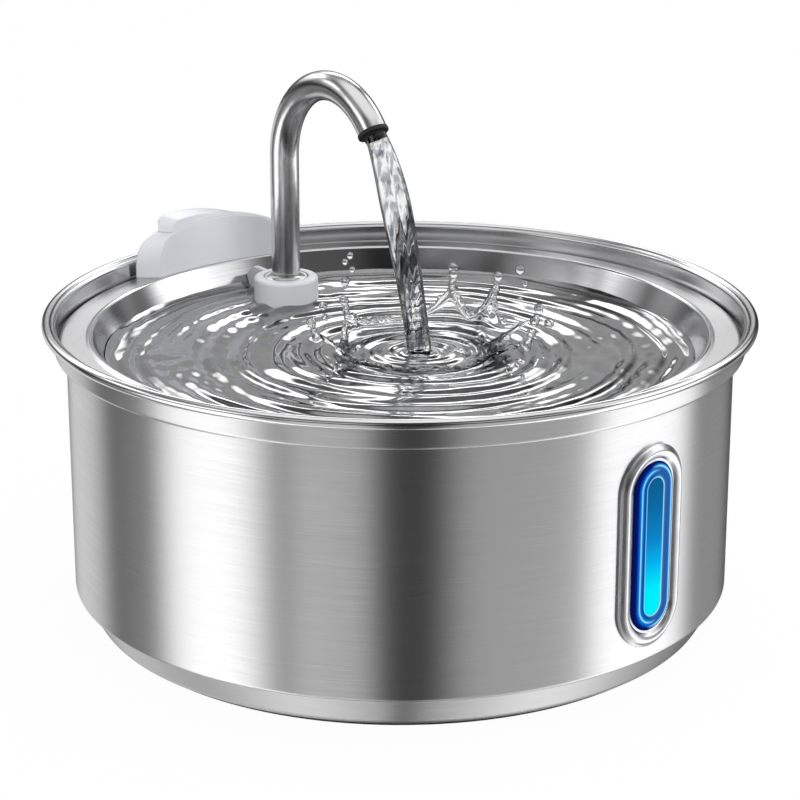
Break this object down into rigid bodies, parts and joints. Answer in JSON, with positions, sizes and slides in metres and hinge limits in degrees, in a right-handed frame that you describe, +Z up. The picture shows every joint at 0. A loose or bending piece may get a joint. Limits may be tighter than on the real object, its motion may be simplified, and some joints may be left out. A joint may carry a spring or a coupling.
{
  "type": "pet water fountain",
  "caption": "Round stainless steel pet water fountain: bowl with lit level window, lift-out drinking tray, swivelling gooseneck spout, submersible pump and drop-in filter.",
  "frame": {"origin": "centre of the bowl, on the surface that it stands on", "axes": "+Z up; the spout's riser stands at +Y and the spout looks towards -Y; +X to the right seen from the front"},
  "size_m": [0.22, 0.22, 0.1651],
  "materials": {
    "brushed_steel_bowl": "fine circumferential brushing",
    "brushed_steel_tray": "satin, turned lines round the axis",
    "polished_steel": "bright polish with faint turned lines",
    "faucet_steel": "fine satin along the tube",
    "white_plastic": "smooth injection moulding, low sheen",
    "blue_lens": "translucent moulded lens, gloss",
    "light_panel": "light panel, graded blue to cyan",
    "clear_silicone": "soft silicone, matte",
    "black_rubber": "matte black",
    "foot_rubber": "matte grey rubber with fine ribs",
    "pump_plastic": "fine spark-eroded texture",
    "cradle_plastic": "fine moulded texture",
    "core_steel": "stack of punched sheets",
    "enamelled_copper": "wound enamelled wire",
    "potting_resin": "cast resin",
    "ceramic": "ground ceramic",
    "ferrite": "sintered magnet",
    "impeller_plastic": "moulded acetal",
    "foam": "open-cell foam",
    "lamp_lens": "clear tinted lamp",
    "lead_jacket": "smooth flexible jacket",
    "contact_brass": "plated contacts",
    "screw_steel": "plated steel",
    "carbon": "granular carbon",
    "fibre": "needled fibre"
  },
  "bodies": {
    "bowl": {"bowl": "brushed_steel_bowl", "foot_ring": "foot_rubber", "window_frame": "polished_steel", "window_lens": "blue_lens", "window_diffuser": "light_panel", "window_gasket": "clear_silicone", "window_retainer": "cradle_plastic"},
    "tray": {"tray": "brushed_steel_tray", "faucet_collar": "white_plastic", "collar_seal": "clear_silicone", "riser_seal": "black_rubber", "outlet_sleeve": "clear_silicone", "collar_nut": "cradle_plastic", "pump_box": "cradle_plastic", "pump_casing": "pump_plastic", "stator_core": "core_steel", "stator_coil": "enamelled_copper", "motor_potting": "potting_resin", "pump_rear_cover": "pump_plastic", "pump_lamp": "lamp_lens", "rear_bush": "black_rubber", "front_bush": "black_rubber", "pump_shaft": "ceramic", "pump_cover": "pump_plastic", "pump_lead": "lead_jacket", "lead_grommet": "black_rubber", "rear_housing": "white_plastic", "housing_cap": "white_plastic", "inlet_socket": "pump_plastic", "inlet_contacts": "contact_brass", "housing_screws": "screw_steel", "filter_basket": "cradle_plastic"},
    "swivel": {"swivel_ferrule": "polished_steel"},
    "faucet": {"faucet_tube": "faucet_steel", "nozzle_ring": "black_rubber"},
    "rotor": {"impeller": "impeller_plastic", "rotor_magnet": "ferrite"},
    "sponge": {"pump_sponge": "foam"},
    "flow_slider": {"flow_slider": "cradle_plastic"},
    "filter": {"drain_cover": "white_plastic", "drain_knob": "white_plastic", "cartridge_shell": "white_plastic", "carbon_bed": "carbon", "fibre_pad": "fibre"}
  },
  "joints": [
    {"name": "tray_lift", "type": "slide", "parent": "bowl", "child": "tray", "axis": [0, 0, 1], "range_m": [0, 0.1]},
    {"name": "spout_swivel", "type": "hinge", "parent": "tray", "child": "swivel", "pos_m": [0, 0.0677, 0.0917], "axis": [0, 0, 1], "range_deg": [-60, 60]},
    {"name": "spout_lift", "type": "slide", "parent": "swivel", "child": "faucet", "axis": [0, 0, 1], "range_m": [0, 0.03]},
    {"name": "rotor_spin", "type": "hinge", "parent": "tray", "child": "rotor", "pos_m": [0, 0.0799, 0.036], "axis": [0, 1, 0], "continuous": true},
    {"name": "sponge_slide", "type": "slide", "parent": "tray", "child": "sponge", "axis": [0, -1, 0], "range_m": [0, 0.026]},
    {"name": "flow_setting", "type": "slide", "parent": "tray", "child": "flow_slider", "axis": [1, 0, 0], "range_m": [-0.005, 0.005]},
    {"name": "filter_lift", "type": "slide", "parent": "tray", "child": "filter", "axis": [0, 0, 1], "range_m": [0, 0.06]}
  ]
}
